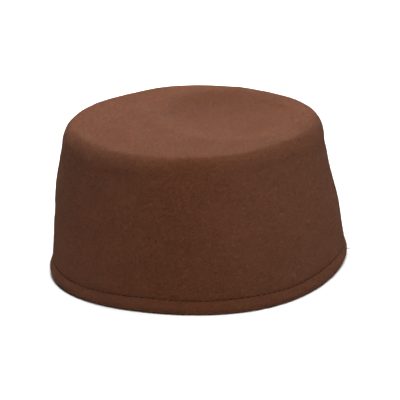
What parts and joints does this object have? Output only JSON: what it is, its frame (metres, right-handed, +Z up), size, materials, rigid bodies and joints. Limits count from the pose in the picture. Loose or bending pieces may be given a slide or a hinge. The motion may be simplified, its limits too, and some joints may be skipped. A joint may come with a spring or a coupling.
{
  "type": "brimless felt cap",
  "caption": "Brimless oval cap of blocked brown wool felt, 58 cm head size, with a soft hollow in the tip and a stitched, turned-in hem.",
  "frame": {"origin": "middle of the hem's outline, on the surface that the cap rests on", "axes": "+Z up from the foot to the tip, +Y from the front to the back of the head, +X across the head"},
  "size_m": [0.1787, 0.216, 0.1093],
  "materials": {
    "brown_felt": "matt wool felt with a short soft nap"
  },
  "bodies": {
    "root": {"felt_crown": "brown_felt"}
  },
  "joints": []
}
